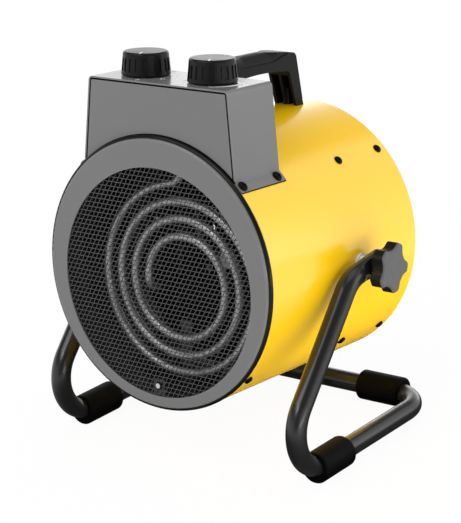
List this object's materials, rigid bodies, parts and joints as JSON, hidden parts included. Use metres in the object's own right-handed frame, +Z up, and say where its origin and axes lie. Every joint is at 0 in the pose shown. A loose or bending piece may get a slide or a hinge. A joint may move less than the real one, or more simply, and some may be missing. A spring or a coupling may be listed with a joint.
{
  "type": "forced air heater",
  "caption": "Round electric fan heater: a barrel with a front mesh, control box and carrying handle, tilting in a bent tube stand between star knobs.",
  "frame": {"origin": "on the floor under the middle of the bounding box", "axes": "+Z up, the warm air leaves towards -Y, +Y towards the rear grille, +X to the right of someone who faces the front mesh"},
  "size_m": [0.2854, 0.2251, 0.333],
  "materials": {
    "yellow_enamel": "semi-gloss enamel",
    "grey_enamel": "smooth satin enamel",
    "black_rubber": "satin moulded rubber",
    "plated_wire": "dull plated steel",
    "zinc_steel": "galvanised",
    "bright_steel": "bright zinc plating",
    "element_sheath": "heat-tinted stainless tube",
    "white_ceramic": null,
    "moulded_black": "moulded satin black",
    "pale_nylon": "natural nylon",
    "motor_can": "black lacquer",
    "fan_aluminium": "black-anodised pressed sheet",
    "rear_black": "satin black enamel",
    "black_enamel": "satin black powder coat"
  },
  "bodies": {
    "stand": {"stand_tube": "black_enamel", "sleeve_front_right": "black_rubber", "sleeve_front_left": "black_rubber", "sleeve_rear_right": "black_rubber", "sleeve_rear_left": "black_rubber"},
    "heater": {"barrel_shell": "yellow_enamel", "front_ring": "grey_enamel", "rim_seal": "black_rubber", "front_grille": "plated_wire", "grille_rivet": "bright_steel", "heat_shield": "rear_black", "heating_element": "element_sheath", "element_terminals": "white_ceramic", "element_strap": "rear_black", "thermal_cutout": "moulded_black", "motor_housing": "motor_can", "motor_bracket": "rear_black", "rear_grille": "rear_black", "box_cover": "grey_enamel", "box_front_panel": "grey_enamel", "box_rear_panel": "grey_enamel", "thermostat_body": "moulded_black", "selector_switch": "moulded_black", "panel_nuts": "bright_steel", "terminal_block": "pale_nylon", "cable_gland": "moulded_black", "gland_locknut": "moulded_black", "carry_handle": "moulded_black", "handle_screws": "bright_steel", "box_screws": "black_enamel", "ring_screws": "black_enamel", "bracket_screws": "black_enamel", "rear_grille_screws": "black_enamel", "pivot_washers": "zinc_steel", "weld_nuts": "zinc_steel"},
    "fan": {"fan_rotor": "fan_aluminium", "motor_rotor": "bright_steel", "fan_nut": "bright_steel"},
    "thermostat_dial": {"thermostat_knob": "moulded_black", "thermostat_spindle": "bright_steel"},
    "selector_dial": {"selector_knob": "moulded_black", "selector_spindle": "bright_steel"},
    "star_right": {"star_knob_right": "moulded_black", "stud_right": "bright_steel"},
    "star_left": {"star_knob_left": "moulded_black", "stud_left": "bright_steel"}
  },
  "joints": [
    {"name": "tilt", "type": "hinge", "parent": "stand", "child": "heater", "pos_m": [0, 0.01963, 0.1551], "axis": [-1, 0, 0], "range_deg": [-20, 50]},
    {"name": "fan_spin", "type": "hinge", "parent": "heater", "child": "fan", "pos_m": [0, 0.00019, 0.14944], "axis": [0, 0.9976, -0.0698], "continuous": true},
    {"name": "thermostat_turn", "type": "hinge", "parent": "heater", "child": "thermostat_dial", "pos_m": [0.0329, -0.06108, 0.31261], "axis": [0, -0.0698, -0.9976], "range_deg": [0, 300]},
    {"name": "selector_turn", "type": "hinge", "parent": "heater", "child": "selector_dial", "pos_m": [-0.0329, -0.06108, 0.31261], "axis": [0, -0.0698, -0.9976], "range_deg": [0, 135]},
    {"name": "star_right_turn", "type": "hinge", "parent": "heater", "child": "star_right", "pos_m": [0.13, 0.01963, 0.1551], "axis": [1, 0, 0], "range_deg": [0, 360]},
    {"name": "star_left_turn", "type": "hinge", "parent": "heater", "child": "star_left", "pos_m": [-0.13, 0.01963, 0.1551], "axis": [-1, 0, 0], "range_deg": [0, 360]}
  ]
}
